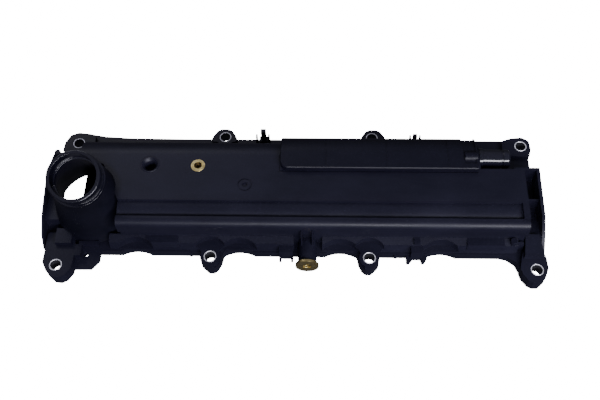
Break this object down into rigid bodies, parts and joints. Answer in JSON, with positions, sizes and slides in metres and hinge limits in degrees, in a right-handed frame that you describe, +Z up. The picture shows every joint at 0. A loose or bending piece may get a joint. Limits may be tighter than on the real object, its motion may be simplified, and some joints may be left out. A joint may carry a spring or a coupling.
{
  "type": "cylinder head cover",
  "caption": "Plastic cam cover that closes the top of a four-cylinder head: bolted flange, tilted oil filler neck, breather spigot, oil separator lid and threaded inserts.",
  "frame": {"origin": "centre of the four corner bolts, on the sealing plane (flange underside)", "axes": "+X along the cover away from the oil filler, +Y towards the back edge, +Z up off the head"},
  "size_m": [0.4121, 0.1462, 0.0831],
  "materials": {
    "housing_plastic": "matte grained glass-filled nylon",
    "lid_plastic": "matte grained glass-filled nylon",
    "spigot_plastic": "smooth turned-looking moulded surface",
    "baffle_plastic": "plain moulded",
    "screw_steel": "zinc plated",
    "ball_steel": "polished",
    "fleece": "needled fleece",
    "gasket_rubber": "moulded rubber",
    "limiter_steel": "bright turned",
    "insert_brass": "turned and knurled"
  },
  "bodies": {
    "cover": {"cover_body": "housing_plastic", "filler_neck": "housing_plastic", "separator_cover": "lid_plastic", "breather_spigot": "spigot_plastic", "baffle_plate": "baffle_plastic", "baffle_screws": "screw_steel", "drain_cage": "baffle_plastic", "nozzle_plate": "baffle_plastic", "fleece_pad": "fleece", "gasket": "gasket_rubber", "limiter_back_1": "limiter_steel", "limiter_back_2": "limiter_steel", "limiter_back_3": "limiter_steel", "limiter_back_4": "limiter_steel", "limiter_front_1": "limiter_steel", "limiter_front_2": "limiter_steel", "limiter_front_3": "limiter_steel", "limiter_front_4": "limiter_steel", "insert_top": "insert_brass", "insert_pillar": "insert_brass"},
    "drain_ball": {"drain_ball": "ball_steel"}
  },
  "joints": [
    {"name": "drain_ball_lift", "type": "slide", "parent": "cover", "child": "drain_ball", "axis": [0, 0, 1], "range_m": [0, 0.002]}
  ]
}
